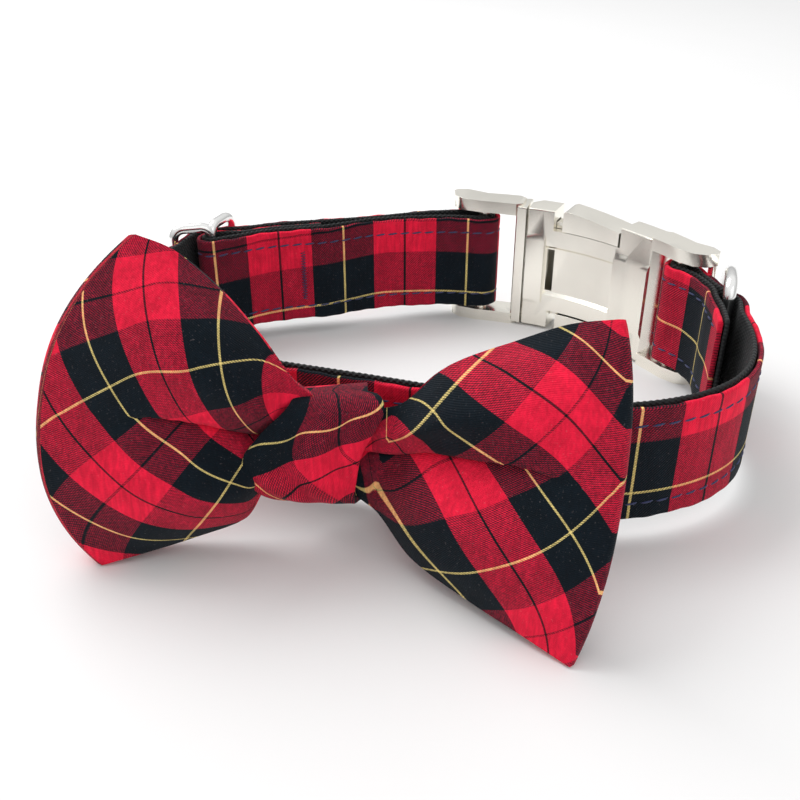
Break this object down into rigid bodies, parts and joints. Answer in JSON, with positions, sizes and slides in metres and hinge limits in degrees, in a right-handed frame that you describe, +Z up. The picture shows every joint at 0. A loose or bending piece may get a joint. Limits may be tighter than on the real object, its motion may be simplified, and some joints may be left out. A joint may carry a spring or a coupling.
{
  "type": "dog collar",
  "caption": "Tartan dog collar with a bow tie in front, a fastened metal side-release buckle, a slider that sets its length and a D-shaped lead ring, standing as a closed loop.",
  "frame": {"origin": "centre of the collar's box, on the surface it stands on", "axes": "+X across the loop along its longest side, +Y from the bow towards the back of the loop where the buckle lies, +Z up"},
  "size_m": [0.141, 0.1332, 0.0554],
  "materials": {
    "webbing": "coarse black webbing",
    "strap_tartan": "woven tartan cotton",
    "bow_tartan": "woven tartan cotton",
    "knot_tartan": "woven tartan cotton",
    "tab": "plain black cloth",
    "socket_metal": "satin nickel plate",
    "clip_metal": "bright nickel plate",
    "slider_metal": "polished nickel plate",
    "ring_metal": "polished nickel plate"
  },
  "bodies": {
    "root": {"strap_webbing": "webbing", "strap_cover": "strap_tartan", "slider": "slider_metal", "buckle_clip": "clip_metal", "buckle_socket": "socket_metal", "d_ring": "ring_metal", "bow_body": "bow_tartan", "bow_knot": "knot_tartan", "bow_tab": "tab"}
  },
  "joints": []
}
